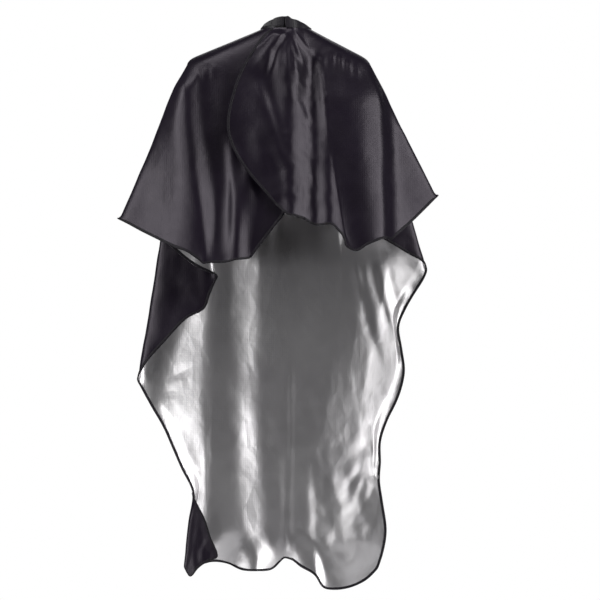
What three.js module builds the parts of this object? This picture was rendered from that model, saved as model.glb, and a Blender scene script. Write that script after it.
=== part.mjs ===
// Barber cape hanging open at the front, with a silver-coated inside, a folded edge binding all round
// and a neckband closed by a hook-and-loop tab.
// Millimetres, +Z up, -Y is the slit side, origin at the centre of the neck opening's base.
import * as THREE from "three";

// ---- driving sizes ----
const HUNG_WIDTH = 644; // the hanging cape's edge, left to right
const HUNG_LENGTH = 1129; // from the neckline down to the lowest point of the long hem
const NECK_HALF_WIDTH = 50; // neck opening, half its width in X
const NECK_HALF_DEPTH = 55; // neck opening, half its depth in Y
const SHOULDER_HALF_WIDTH = 186;
const SHOULDER_SHIFT_X = -16; // the cape hangs a little to one side of the neck
const SHOULDER_DROP = 62; // from the neckline down to the shoulder edge
const CHEST_DEPTH = 66; // neck axis to the front of the shoulder edge
const BACK_DEPTH = 88; // neck axis to the back of the shoulder edge
const CHEST_EXTRA_DROP = 16;
const CLOTH = 1.4; // thickness that stands in for the nylon
const COATING = 0.8; // thickness that stands in for the silver coating
const LAYER_GAP = 0.4; // between cloth and coating, and between neighbouring panels
const BINDING_DEPTH = 9; // how far the binding reaches over the cloth
const BINDING_WALL = 0.9;
const BINDING_PLAY = 0.35; // clear of the cloth inside the binding
const SEAM_PLAY = 2; // a flap's cloth starts this far from its hinge line
const HEM_PLAY = 3.5; // a flap's hem binding starts this far from its hinge line
const BAND_HEIGHT = 20;
const BAND_THICK = 2;
const OVERLAP_STEP = 8; // how far the top layer of the closure stands in front of the bottom one
const TAB_HEIGHT = 20;
const TAB_THICK = 2;
const PATCH_THICK = 1.1;

const FLAP_SEAM = { under: 8, over: 346 }; // angles round the neck, in degrees, where the two flaps hinge
const LAP_END = { under: -5, over: 388 }; // angles of the two ends of the neckline

// ---- colours ----
const BLACK_NYLON = new THREE.MeshStandardMaterial({ color: 0x1b1420, roughness: 0.38, metalness: 0 });
const SILVER_COAT = new THREE.MeshStandardMaterial({ color: 0xb9b9be, roughness: 0.35, metalness: 0.6 });
const BLACK_TAPE = new THREE.MeshStandardMaterial({ color: 0x0c0a0e, roughness: 0.6, metalness: 0 });
const BLACK_BAND = new THREE.MeshStandardMaterial({ color: 0x241e2a, roughness: 0.55, metalness: 0 });
const HOOK_BLACK = new THREE.MeshStandardMaterial({ color: 0x16131a, roughness: 0.9, metalness: 0 });
const LOOP_GREY = new THREE.MeshStandardMaterial({ color: 0xb4b0b2, roughness: 0.95, metalness: 0 });

// ---- the outline ----
// The points below are drawn for this width and length, and are scaled to the driving sizes.
const DRAWN = { width: 644, length: 1129 };
// Each stretch of the cape's edge, as points [x, y, z], with the angles round the neck that it fans out from.
// Angle 0 is the front (-Y), 90 the -X side, 180 the back and 270 the +X side.
const STRETCHES = {
  // short hem, -X half
  front_left: {
    from: FLAP_SEAM.under,
    to: 70,
    edge: [
      [-70, -92, -459], [-90, -102, -462], [-108, -108, -466], [-132, -96, -469], [-156, -84, -469],
      [-178, -82, -458], [-200, -82, -447], [-224, -76, -436], [-248, -66, -424], [-270, -54, -413],
      [-292, -42, -402], [-314, -31, -390], [-332, -22, -381],
    ],
  },
  // the side folds back behind the front and forward again
  left_pleat: {
    from: 70,
    to: 112,
    edge: [
      [-332, -22, -381], [-338, -14, -378], [-330, -6, -380], [-292, -4, -392], [-242, -2, -420],
      [-200, -1, -451], [-172, -1, -468], [-144, 0, -482], [-135, 7, -490], [-140, 14, -502],
      [-152, 15, -532], [-162, 15, -558], [-198, 15, -578], [-242, 15, -624], [-276, 16, -662],
      [-291, 18, -685], [-299, 27, -700], [-293, 37, -717],
    ],
  },
  // long side: its -X edge
  drape_left: {
    from: 112,
    to: 150,
    heart: [0, 85, -600],
    bow: [0, 120],
    edge: [
      [-293, 37, -717], [-272, 42, -756], [-248, 46, -798], [-230, 52, -840], [-212, 56, -882],
      [-190, 60, -930], [-198, 62, -988], [-204, 62, -1048], [-204, 62, -1086], [-180, 68, -1080],
    ],
  },
  // long hem
  drape_mid_left: {
    from: 150,
    to: 182,
    bow: [120, 0],
    edge: [
      [-180, 68, -1080], [-152, 76, -1072], [-119, 94, -1077], [-91, 80, -1089], [-63, 70, -1090],
      [-29, 94, -1089], [-15, 100, -1077], [-4, 98, -1065],
    ],
  },
  drape_mid_right: {
    from: 182,
    to: 215,
    bow: [0, -80],
    edge: [
      [-4, 98, -1065], [13, 88, -1070], [28, 80, -1082], [57, 74, -1098], [75, 80, -1125],
      [100, 84, -1129], [128, 82, -1125], [150, 78, -1116], [168, 72, -1104], [187, 66, -1084],
    ],
  },
  // long side: its +X edge
  drape_right: {
    from: 215,
    to: 250,
    heart: [0, 85, -600],
    bow: [-80, 0],
    edge: [
      [187, 66, -1084], [198, 62, -1048], [204, 60, -1006], [196, 58, -947], [190, 56, -904],
      [192, 54, -868], [192, 52, -826], [206, 48, -782], [220, 46, -754], [230, 44, -730],
      [238, 42, -700], [240, 40, -678], [234, 38, -636], [228, 36, -594], [242, 34, -558],
      [256, 32, -533], [276, 30, -502],
    ],
  },
  right_pleat: {
    from: 250,
    to: 288,
    edge: [
      [276, 30, -502], [284, 22, -480], [276, 14, -466], [244, 12, -448], [218, 10, -432],
      [194, 8, -418], [184, 2, -410], [194, -3, -402], [228, -6, -384], [262, -8, -356],
      [294, -8, -334], [306, -14, -331], [300, -22, -337],
    ],
  },
  // short hem, +X half
  front_right: {
    from: 288,
    to: FLAP_SEAM.over,
    edge: [
      [300, -22, -337], [280, -32, -357], [252, -46, -384], [228, -62, -405], [206, -78, -423],
      [186, -92, -428], [162, -100, -438], [138, -102, -449], [116, -98, -432], [98, -104, -412],
      [82, -110, -398], [56, -112, -392], [34, -112, -382],
    ],
  },
};

// The two layers of the slit. Each hinges on a straight line from the neckline down to hinge, and its free
// edge runs from the neckline's end down to the hem.
const FLAPS = {
  underlap: {
    seam: FLAP_SEAM.under,
    lap: LAP_END.under,
    hinge: [-70, -92, -459],
    free: [
      [6, -59, -50], [7, -65, -100], [7, -72, -165], [6, -81, -240], [4, -89, -310], [-2, -95, -371],
    ],
  },
  overlap: {
    seam: FLAP_SEAM.over,
    lap: LAP_END.over,
    hinge: [34, -112, -382],
    free: [
      [-48, -58, -20], [-76, -68, -60], [-92, -74, -90], [-106, -79, -130], [-116, -84, -176],
      [-116, -88, -208], [-106, -91, -240], [-92, -95, -266], [-72, -99, -294], [-46, -104, -324],
      [-22, -108, -352], [2, -111, -374],
    ],
  },
};

// The long side's lower -X corner is turned over to the front: its fold, then its free edge, top to bottom.
const CORNER_FOLD = [
  [-191, 52, -940], [-197, 52, -985], [-201, 52, -1018], [-203, 52, -1045], [-205, 52, -1058],
  [-206, 52, -1070], [-206, 52, -1082],
];
const CORNER_EDGE = [
  [-182, 48, -944], [-164, 48, -980], [-152, 48, -1017], [-138, 48, -1058], [-156, 48, -1066],
  [-176, 48, -1080], [-192, 48, -1098],
];

// A drawn point at the cape's own width and length.
function placed([x, y, z]) {
  return new THREE.Vector3(x * (HUNG_WIDTH / DRAWN.width), y, z * (HUNG_LENGTH / DRAWN.length));
}

const radians = THREE.MathUtils.degToRad;
const smooth = THREE.MathUtils.smoothstep;

// How far round from the front an angle is, 0 to 180 degrees.
function fromFront(angle) {
  const turned = ((angle % 360) + 360) % 360;
  return Math.min(turned, 360 - turned);
}

// A point of the neckline; the top layer of the closure stands a step further out.
function neckPoint(angle, out = 0, z = 0) {
  const step = OVERLAP_STEP * smooth(angle, 318, FLAP_SEAM.over) + out;
  const a = radians(angle);
  return new THREE.Vector3(
    -(NECK_HALF_WIDTH + step) * Math.sin(a),
    -(NECK_HALF_DEPTH + step) * Math.cos(a),
    z,
  );
}

// Where the cloth turns down over the shoulders, for the fan line at this angle that ends at end.
function shoulderPoint(angle, neck, end) {
  const a = radians(angle);
  const forward = Math.cos(a);
  const depth = forward > 0 ? CHEST_DEPTH : BACK_DEPTH;
  const over = new THREE.Vector3(
    SHOULDER_SHIFT_X - SHOULDER_HALF_WIDTH * Math.sin(a),
    -depth * forward,
    -SHOULDER_DROP - CHEST_EXTRA_DROP * Math.max(forward, 0),
  );
  const straight = neck.clone().lerp(end, 0.25);
  return straight.lerp(over, smooth(fromFront(angle), FLAP_SEAM.under + 6, 62));
}

const SLOPE_STATIONS = [0, 0.8]; // shares of the way from neckline to shoulder
const FALL_STATIONS = [0.1, 0.35, 0.6, 0.85, 1]; // shares of the way from shoulder to binding
const SLIT_TO_EDGE = 2; // the cloth ends this far inside the binding's outer edge

// The points of one fan line from the neckline to the edge. The last three are where the binding starts,
// where the cloth ends, and the binding's outer edge. Both are measured square to the edge, which runs
// along tangent and has heart on its inner side. bow shifts the line in X on its way down, so that it
// meets a steep side edge at an angle.
function fanLine({ angle, end, heart, bow }, tangent) {
  const neck = neckPoint(angle);
  const shoulder = shoulderPoint(angle, neck, end);
  const inward = (heart ?? shoulder).clone().sub(end).projectOnPlane(tangent).normalize();
  const start = end.clone().addScaledVector(inward, BINDING_DEPTH);
  const middle = shoulder.clone().lerp(start, 0.6);
  middle.x += bow;
  const fall = new THREE.QuadraticBezierCurve3(shoulder, middle, start);
  const points = SLOPE_STATIONS.map((t) => neck.clone().lerp(shoulder, t));
  const falling = FALL_STATIONS.map((t) => fall.getPoint(t));
  const corner = shoulder.clone().multiplyScalar(0.5);
  corner.addScaledVector(points[points.length - 1], 0.25).addScaledVector(falling[0], 0.25);
  points.push(corner, ...falling);
  points.push(end.clone().addScaledVector(inward, SLIT_TO_EDGE));
  points.push(end.clone());
  return points;
}

// Unit normals of a grid of points, on the side the cloth's outside faces.
function gridNormals(lines) {
  const at = (list, i) => list[Math.max(0, Math.min(list.length - 1, i))];
  return lines.map((line, i) =>
    line.map((_, j) => {
      const along = at(lines, i + 1)[j].clone().sub(at(lines, i - 1)[j]);
      const down = at(line, j + 1).clone().sub(at(line, j - 1));
      return along.cross(down).normalize();
    }),
  );
}

// Moves the first and last fan lines inwards so that neighbouring panels stay apart.
function trimmed(lines, gap) {
  const towards = (line, next) =>
    line.map((p, j) => {
      const d = p.distanceTo(next[j]);
      return p.clone().lerp(next[j], Math.min(0.4, gap / 2 / d));
    });
  const last = lines.length - 1;
  const out = lines.slice();
  out[0] = towards(lines[0], lines[1]);
  out[last] = towards(lines[last], lines[last - 1]);
  return out;
}

function signedVolume(vertices, faces) {
  let six = 0;
  for (const [a, b, c] of faces) {
    six += vertices[a].dot(vertices[b].clone().cross(vertices[c]));
  }
  return six / 6;
}

// A geometry from shared vertices, with its faces turned outwards.
function closedGeometry(vertices, faces) {
  const turned = signedVolume(vertices, faces) < 0 ? faces.map(([a, b, c]) => [a, c, b]) : faces;
  const geometry = new THREE.BufferGeometry();
  const flat = vertices.flatMap((v) => [v.x, v.y, v.z]);
  geometry.setAttribute("position", new THREE.Float32BufferAttribute(flat, 3));
  geometry.setIndex(turned.flat());
  geometry.computeVertexNormals();
  return geometry;
}

// A section of the same number of points at each station, joined into one closed body.
// cap lists the section's triangles at either end.
// turned lists the section's sides that run back towards the start; their quads split along the other
// diagonal, so that two surfaces offset from one grid stay parallel.
function sweep(sections, cap, turned = []) {
  const size = sections[0].length;
  const vertices = sections.flat();
  const faces = [];
  for (let i = 0; i + 1 < sections.length; i++) {
    for (let k = 0; k < size; k++) {
      const a = i * size + k;
      const b = i * size + ((k + 1) % size);
      if (turned.includes(k)) {
        faces.push([a, b, a + size], [b, b + size, a + size]);
      } else {
        faces.push([a, b, b + size], [a, b + size, a + size]);
      }
    }
  }
  const last = (sections.length - 1) * size;
  for (const [a, b, c] of cap) {
    faces.push([a, c, b], [last + a, last + b, last + c]);
  }
  return closedGeometry(vertices, faces);
}

// A thin solid between two offsets from a grid's surface: each section runs down the outside, back up the inside.
function slab(lines, normals, low, high) {
  const rows = lines[0].length;
  const sections = lines.map((line, i) => {
    const outside = line.map((p, j) => p.clone().addScaledVector(normals[i][j], high));
    const inside = line.map((p, j) => p.clone().addScaledVector(normals[i][j], low));
    return outside.concat(inside.reverse());
  });
  const cap = [];
  for (let j = 0; j + 1 < rows; j++) {
    const back = 2 * rows - 1 - j;
    cap.push([j, j + 1, back], [j + 1, back - 1, back]);
  }
  const backwards = [...Array(rows - 1).keys()].map((j) => rows + j);
  return sweep(sections, cap, backwards);
}

// The U-shaped binding: rows are where it starts, where the cloth ends and its outer edge.
const CHANNEL_TURNED = [2, 7, 8];
const CHANNEL_CAP = [
  [0, 8, 9], [0, 1, 8], [1, 7, 8], // outer leg
  [1, 2, 7], [2, 6, 7], // web
  [2, 5, 6], [2, 3, 5], [3, 4, 5], // inner leg
];
function channel(lines, normals) {
  const outFace = CLOTH + LAYER_GAP / 2 + BINDING_PLAY;
  const inFace = -(COATING + LAYER_GAP / 2 + BINDING_PLAY);
  const sections = lines.map(([start, clothEnd, edge], i) => {
    const [nStart, nEnd, nEdge] = normals[i];
    const floor = clothEnd.clone().lerp(edge, 0.4);
    const put = (p, n, offset) => p.clone().addScaledVector(n, offset);
    return [
      put(start, nStart, outFace + BINDING_WALL),
      put(edge, nEdge, outFace + BINDING_WALL),
      put(edge, nEdge, inFace - BINDING_WALL),
      put(start, nStart, inFace - BINDING_WALL),
      put(start, nStart, inFace),
      put(clothEnd, nEnd, inFace),
      put(floor, nEnd, inFace),
      put(floor, nEnd, outFace),
      put(clothEnd, nEnd, outFace),
      put(start, nStart, outFace),
    ];
  });
  return sweep(sections, CHANNEL_CAP, CHANNEL_TURNED);
}

const cape = new THREE.Group();

function addMesh(name, geometry, material) {
  const mesh = new THREE.Mesh(geometry, material);
  mesh.name = name;
  cape.add(mesh);
}

// Cloth, coating and binding of one stretch, from its fan lines and their normals.
function addPanel(name, rawLines, normals) {
  const lines = trimmed(rawLines, LAYER_GAP);
  const rows = lines[0].length;
  const clothRows = lines.map((line) => line.slice(0, rows - 1));
  const edgeRows = lines.map((line) => line.slice(rows - 3));
  const edgeNormals = normals.map((line) => line.slice(rows - 3));
  const half = LAYER_GAP / 2;
  addMesh("cloth_" + name, slab(clothRows, normals, half, half + CLOTH), BLACK_NYLON);
  addMesh("lining_" + name, slab(clothRows, normals, -half - COATING, -half), SILVER_COAT);
  addMesh("binding_" + name, channel(edgeRows, edgeNormals), BLACK_TAPE);
}

// Every fan line in order round the neck; neighbouring stretches share the line between them.
const outline = [];
const spans = {};
for (const [name, { from, to, edge, heart, bow = [0, 0] }] of Object.entries(STRETCHES)) {
  const first = Math.max(0, outline.length - 1);
  edge.forEach((point, i) => {
    if (i === 0 && outline.length > 0) return;
    const share = i / (edge.length - 1);
    outline.push({
      angle: THREE.MathUtils.lerp(from, to, share),
      end: placed(point),
      heart: heart && placed(heart),
      bow: THREE.MathUtils.lerp(...bow, share),
    });
  });
  spans[name] = [first, outline.length];
}
const allLines = outline.map((spoke, i) => {
  const before = outline[Math.max(0, i - 1)].end;
  const after = outline[Math.min(outline.length - 1, i + 1)].end;
  const tangent = after.clone().sub(before).normalize();
  return fanLine(spoke, tangent);
});
const allNormals = gridNormals(allLines);
for (const [name, [first, end]] of Object.entries(spans)) {
  addPanel(name, allLines.slice(first, end), allNormals.slice(first, end));
}

// A flap's grid: lines run from the neckline to the hem, the first along the hinge. Of the last three lines,
// the binding starts on one, the cloth ends on the next, and the last is the binding's outer edge. The same
// holds for the last three rows along the hem.
const FLAP_ROWS = 11;
const FLAP_SHARES = [0, 0.33, 0.66, 1];
const HEM_BINDING = [BINDING_DEPTH, SLIT_TO_EDGE, 0];
function flapLines({ seam, lap, hinge, free }) {
  const top = neckPoint(seam);
  const bottom = placed(hinge);
  const freeEdge = new THREE.CatmullRomCurve3([neckPoint(lap), ...free.map(placed)]);
  const length = freeEdge.getLength();
  const rowAt = (t) => {
    const outer = freeEdge.getPointAt(t);
    const root = top.clone().lerp(bottom, t);
    const inward = root.clone().sub(outer).projectOnPlane(freeEdge.getTangentAt(t)).normalize();
    const width = root.distanceTo(outer);
    const depth = Math.min(BINDING_DEPTH, width * 0.4);
    const start = outer.clone().addScaledVector(inward, depth);
    const edgeIn = outer.clone().addScaledVector(inward, depth * (SLIT_TO_EDGE / BINDING_DEPTH));
    return [...FLAP_SHARES.map((share) => root.clone().lerp(start, share)), edgeIn, outer];
  };
  const lastFree = 1 - BINDING_DEPTH / length;
  const shares = [...Array(FLAP_ROWS).keys()].map((j) => (lastFree * j) / (FLAP_ROWS - 1));
  shares.push(1 - SLIT_TO_EDGE / length, 1);
  const rows = shares.map(rowAt);
  return rows[0].map((_, i) => rows.map((row) => row[i]));
}

for (const [name, flap] of Object.entries(FLAPS)) {
  const mirrored = flap.lap < flap.seam;
  const raw = flapLines(flap);
  const normals = gridNormals(raw);
  if (mirrored) normals.flat().forEach((n) => n.negate());
  const lines = raw.slice();
  lines[0] = trimmed(raw, 2 * SEAM_PLAY)[0];
  const rows = lines[0].length;
  const half = LAYER_GAP / 2;
  const clothLines = lines.slice(0, -1).map((line) => line.slice(0, rows - 1));
  addMesh("cloth_" + name, slab(clothLines, normals, half, half + CLOTH), BLACK_NYLON);
  addMesh("lining_" + name, slab(clothLines, normals, -half - COATING, -half), SILVER_COAT);
  // along the free edge
  const edge = [...Array(rows).keys()].map((j) => lines.slice(-3).map((line) => line[j]));
  const edgeNormals = [...Array(rows).keys()].map((j) => normals.slice(-3).map((line) => line[j]));
  addMesh("binding_" + name + "_edge", channel(edge, edgeNormals), BLACK_TAPE);
  // along the hem, up to where the free edge's binding starts
  const hemLines = trimmed(lines.slice(0, -2), LAYER_GAP);
  hemLines[0] = trimmed(raw, 2 * HEM_PLAY)[0];
  const hem = hemLines.map((line) => line.slice(rows - 3));
  const hemNormals = normals.slice(0, -2).map((line) => line.slice(rows - 3));
  addMesh("binding_" + name + "_hem", channel(hem, hemNormals), BLACK_TAPE);
}

const cornerLines = CORNER_FOLD.map((point, i) => {
  const fold = placed(point);
  const end = placed(CORNER_EDGE[i]);
  const length = fold.distanceTo(end);
  const depth = Math.min(BINDING_DEPTH, length / 2);
  const at = (back) => end.clone().lerp(fold, back / length);
  return [fold, at(depth), at(depth * (SLIT_TO_EDGE / BINDING_DEPTH)), end];
});
addPanel("corner_fold", cornerLines, gridNormals(cornerLines));

// ---- neckband and its closure ----
const RING_STEP = 9; // degrees between the neckband's stations

// A strip standing round part of the neck opening, between two offsets outwards and two heights.
function ringStrip(from, to, low, high, bottom, top) {
  const count = Math.max(2, Math.round((to - from) / RING_STEP));
  const sections = [];
  for (let i = 0; i <= count; i++) {
    const angle = THREE.MathUtils.lerp(from, to, i / count);
    sections.push([
      neckPoint(angle, high, bottom),
      neckPoint(angle, high, top),
      neckPoint(angle, low, top),
      neckPoint(angle, low, bottom),
    ]);
  }
  return sweep(sections, [[0, 1, 2], [0, 2, 3]]);
}

const BAND_BOTTOM = 2.4; // the neckband stands just clear of the cloth's top edge
const BAND_TOP = BAND_BOTTOM + BAND_HEIGHT;
const bandIn = -BAND_THICK / 2;
const bandOut = BAND_THICK / 2;
const SEAM_GAP = 0.5; // degrees left open each side of a hinge line
const OVER_BAND_END = 361.5;

function addBand(name, from, to) {
  const strip = ringStrip(from + SEAM_GAP, to - SEAM_GAP, bandIn, bandOut, BAND_BOTTOM, BAND_TOP);
  addMesh(name, strip, BLACK_BAND);
}
addBand("neckband_underlap_end", LAP_END.under, FLAP_SEAM.under);
addBand("neckband_ring", FLAP_SEAM.under, FLAP_SEAM.over);
addBand("neckband_overlap_end", FLAP_SEAM.over, OVER_BAND_END);

// Loop strip on the ring, hook patch behind the tab, and the tab that reaches over it from the top layer.
const TOUCH = 0.35; // between two faces that press on each other
const loopIn = bandOut + TOUCH;
const loopOut = loopIn + PATCH_THICK;
const hookIn = loopOut + TOUCH;
const hookOut = hookIn + PATCH_THICK;
const tabIn = hookOut + TOUCH;
const tabOut = tabIn + TAB_THICK;
const TAB_FROM = 2.5;
const TAB_TO = 31;
const PATCH_BOTTOM = BAND_BOTTOM + 4;
const PATCH_TOP = BAND_TOP - 4;

addMesh("loop_strip", ringStrip(10, 60, loopIn, loopOut, PATCH_BOTTOM, PATCH_TOP), LOOP_GREY);
addMesh("hook_patch", ringStrip(11, 29, hookIn, hookOut, PATCH_BOTTOM, PATCH_TOP), HOOK_BLACK);
const tabTop = BAND_BOTTOM + TAB_HEIGHT;
addMesh("closure_tab", ringStrip(TAB_FROM, TAB_TO, tabIn, tabOut, BAND_BOTTOM, tabTop), BLACK_BAND);

export default cape;
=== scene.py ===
"""Barber cape: cloth, silver coating, bound edges, neckband and closure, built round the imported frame."""

import math

import bpy
import numpy as np
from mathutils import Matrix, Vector


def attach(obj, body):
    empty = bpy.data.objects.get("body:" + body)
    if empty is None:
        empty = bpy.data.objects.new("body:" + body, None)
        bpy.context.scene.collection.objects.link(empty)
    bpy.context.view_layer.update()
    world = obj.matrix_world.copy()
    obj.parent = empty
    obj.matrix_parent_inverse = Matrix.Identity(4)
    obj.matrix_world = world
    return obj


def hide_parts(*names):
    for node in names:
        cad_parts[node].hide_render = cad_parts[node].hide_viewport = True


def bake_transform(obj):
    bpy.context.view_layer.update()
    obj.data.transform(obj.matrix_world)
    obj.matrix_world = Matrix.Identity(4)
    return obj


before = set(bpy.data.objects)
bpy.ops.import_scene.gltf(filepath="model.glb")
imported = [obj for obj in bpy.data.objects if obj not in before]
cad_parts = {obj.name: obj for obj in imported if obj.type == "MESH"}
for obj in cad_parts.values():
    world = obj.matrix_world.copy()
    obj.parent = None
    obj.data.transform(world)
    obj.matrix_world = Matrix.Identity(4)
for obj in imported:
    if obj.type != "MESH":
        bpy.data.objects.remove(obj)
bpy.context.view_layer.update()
MM = 0.001

# ---- camera ----
CAMERA_AT = (0.028, -6.0, -0.540)
CAMERA_LENS = 180.0
camera_data = bpy.data.cameras.new("camera")
camera_data.lens = CAMERA_LENS
camera_data.sensor_width = 36.0
camera_data.clip_end = 60.0
camera = bpy.data.objects.new("camera", camera_data)
camera.location = CAMERA_AT
camera.rotation_euler = (math.radians(90), 0, 0)
bpy.context.scene.collection.objects.link(camera)
bpy.context.scene.camera = camera

# ---- sizes, in millimetres ----
NECK_HALF_WIDTH = 50
NECK_HALF_DEPTH = 55
SHOULDER_HALF_WIDTH = 186
SHOULDER_SHIFT_X = -16
SHOULDER_DROP = 62
CHEST_DEPTH = 66
BACK_DEPTH = 88
CHEST_EXTRA_DROP = 16
OVERLAP_STEP = 8
HEM_START = 9
BINDING_WIDTH = 5.5
SKIN = 0.45  # from the middle of the cloth to either face
SEAM_UNDER, SEAM_OVER = 8, 346
LAP_UNDER, LAP_OVER = -5, 388

# ---- the cape's edge, stretch by stretch: angles round the neck, then points ----
STRETCHES = {
    "front_left": (SEAM_UNDER, 70, (0, 0), None, [
        (-70, -92, -459), (-90, -102, -462), (-108, -108, -466), (-132, -96, -469), (-156, -84, -469),
        (-178, -82, -458), (-200, -82, -447), (-224, -76, -436), (-248, -66, -424), (-270, -54, -413),
        (-292, -42, -402), (-314, -31, -390), (-332, -22, -381)]),
    "left_pleat": (70, 112, (0, 0), None, [
        (-332, -22, -381), (-338, -14, -378), (-330, -6, -380), (-292, -4, -393), (-242, -2, -425),
        (-200, -2, -460), (-172, -3, -478), (-144, -2, -489), (-135, 6, -493), (-140, 14, -502),
        (-152, 15, -532), (-162, 15, -558), (-198, 15, -578), (-242, 15, -624), (-276, 16, -662),
        (-291, 18, -685), (-299, 27, -700), (-293, 37, -717)]),
    "drape_left": (112, 150, (0, 120), (0, 85, -600), [
        (-293, 37, -717), (-272, 42, -756), (-248, 46, -798), (-230, 52, -840), (-212, 56, -882),
        (-190, 60, -930), (-198, 62, -988), (-204, 62, -1048), (-204, 62, -1086), (-180, 68, -1080)]),
    "drape_mid_left": (150, 182, (120, 0), None, [
        (-180, 68, -1080), (-152, 76, -1072), (-119, 94, -1077), (-91, 80, -1089), (-63, 70, -1090),
        (-29, 94, -1089), (-15, 100, -1077), (-4, 98, -1065)]),
    "drape_mid_right": (182, 215, (0, -80), None, [
        (-4, 98, -1065), (13, 88, -1070), (28, 80, -1082), (57, 74, -1098), (75, 80, -1125),
        (100, 84, -1129), (128, 82, -1125), (150, 78, -1116), (168, 72, -1104), (187, 66, -1084)]),
    "drape_right": (215, 250, (-80, 0), (0, 85, -600), [
        (187, 66, -1084), (198, 62, -1048), (204, 60, -1006), (196, 58, -947), (190, 56, -904),
        (192, 54, -868), (192, 52, -826), (206, 48, -782), (220, 46, -754), (230, 44, -730),
        (238, 42, -700), (240, 40, -678), (234, 38, -636), (228, 36, -594), (242, 34, -558),
        (256, 32, -533), (276, 30, -502)]),
    "right_pleat": (250, 288, (0, 0), None, [
        (276, 30, -502), (284, 22, -480), (276, 14, -466), (244, 12, -448), (218, 10, -432),
        (194, 8, -418), (184, 2, -410), (194, -3, -402), (228, -6, -384), (262, -8, -356),
        (294, -8, -334), (306, -14, -331), (300, -22, -337)]),
    "front_right": (288, SEAM_OVER, (0, 0), None, [
        (300, -22, -337), (280, -32, -357), (252, -46, -384), (228, -62, -405), (206, -78, -423),
        (186, -92, -428), (162, -100, -438), (138, -102, -449), (116, -98, -432), (98, -104, -412),
        (82, -110, -398), (56, -112, -392), (34, -112, -382)]),
}
UNDER_FREE = [
    (6, -59, -50), (7, -65, -100), (7, -72, -165), (6, -81, -240), (4, -89, -310), (-2, -95, -371)]
OVER_FREE = [
    (-48, -58, -20), (-76, -68, -60), (-92, -74, -90), (-106, -79, -130), (-116, -84, -176),
    (-116, -88, -208), (-106, -91, -240), (-92, -95, -266), (-72, -99, -294), (-46, -104, -324),
    (-22, -108, -352), (2, -111, -374)]
CORNER_EDGE = [
    (-184, 50, -942), (-164, 49, -980), (-152, 49, -1017), (-138, 49, -1058), (-156, 49, -1066),
    (-176, 50, -1080), (-193, 52, -1098), (-203, 56, -1096)]
FOLD_AT = 5, 8  # the outline points of drape_left between which the corner is folded over

COLUMN_STEP = 4.5  # mm along the edge between columns
ROWS = 190  # points from the neck to the edge
UNDER_COLUMNS, OVER_COLUMNS = 17, 34  # columns across each front flap
SHOULDER_EASE = 24  # mm over which the cloth turns at the shoulder
FALL_POINTS, SLOPE_POINTS, LINE_POINTS = 120, 40, 400  # points from which a column is drawn
INWARD_INSET, INWARD_SPREAD = 4, 16  # columns: where the long side's inward directions are eased, and how far
EDGE_SAMPLES = 600  # points on a flap's free edge before it is spaced out
CORNER_COLUMNS, CORNER_ROWS, CORNER_SAMPLES = 60, 26, 300
SMOOTH_PASSES, LAST_SMOOTH_PASSES = 14, 2


# ---- small tools ----
def smoothstep(x, low, high):
    t = np.clip((np.asarray(x, float) - low) / (high - low), 0, 1)
    return t * t * (3 - 2 * t)


def unit(v):
    v = np.asarray(v, float)
    return v / np.maximum(np.linalg.norm(v, axis=-1, keepdims=True), 1e-12)


def catmull(points, samples):
    """Points of a centripetal Catmull-Rom curve at fractional indices."""
    p = np.asarray(points, float)
    n = len(p)
    out = []
    for s in samples:
        i = min(int(s), n - 2)
        f = s - i
        p1, p2 = p[i], p[i + 1]
        p0 = p[i - 1] if i > 0 else 2 * p1 - p2
        p3 = p[i + 2] if i + 2 < n else 2 * p2 - p1
        k = [max(np.linalg.norm(b - a), 1e-6) ** 0.5 for a, b in ((p0, p1), (p1, p2), (p2, p3))]
        t1, t2, t3 = k[0], k[0] + k[1], k[0] + k[1] + k[2]
        t = t1 + f * (t2 - t1)
        a1 = (t1 - t) / t1 * p0 + t / t1 * p1
        a2 = (t2 - t) / (t2 - t1) * p1 + (t - t1) / (t2 - t1) * p2
        a3 = (t3 - t) / (t3 - t2) * p2 + (t - t2) / (t3 - t2) * p3
        b1 = (t2 - t) / t2 * a1 + t / t2 * a2
        b2 = (t3 - t) / (t3 - t1) * a2 + (t - t1) / (t3 - t1) * a3
        out.append((t2 - t) / (t2 - t1) * b1 + (t - t1) / (t2 - t1) * b2)
    return np.array(out)


def resampled(line, shares):
    """A polyline's points at the given shares of its length."""
    along = np.concatenate([[0], np.cumsum(np.linalg.norm(np.diff(line, axis=0), axis=1))])
    at = np.asarray(shares) * along[-1]
    return np.stack([np.interp(at, along, line[:, k]) for k in range(3)], axis=1)


def neck_point(angle, out=0.0, z=0.0):
    """A point round the neck: 0 degrees is the front, and the overlap's side steps outwards."""
    step = OVERLAP_STEP * smoothstep(angle, 318, SEAM_OVER) + out
    a = math.radians(angle)
    return np.array([
        -(NECK_HALF_WIDTH + step) * math.sin(a), -(NECK_HALF_DEPTH + step) * math.cos(a), z])


def shoulder_point(angle, neck, end):
    """Where the column at this angle turns down over the shoulder, chest or back."""
    a = math.radians(angle)
    forward = math.cos(a)
    depth = CHEST_DEPTH if forward > 0 else BACK_DEPTH
    over = np.array([
        SHOULDER_SHIFT_X - SHOULDER_HALF_WIDTH * math.sin(a), -depth * forward,
        -SHOULDER_DROP - CHEST_EXTRA_DROP * max(forward, 0)])
    turned = angle % 360
    from_front = min(turned, 360 - turned)
    share = float(smoothstep(from_front, SEAM_UNDER + 6, 62))
    straight = neck + (end - neck) * 0.25
    return straight + (over - straight) * share


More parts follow.
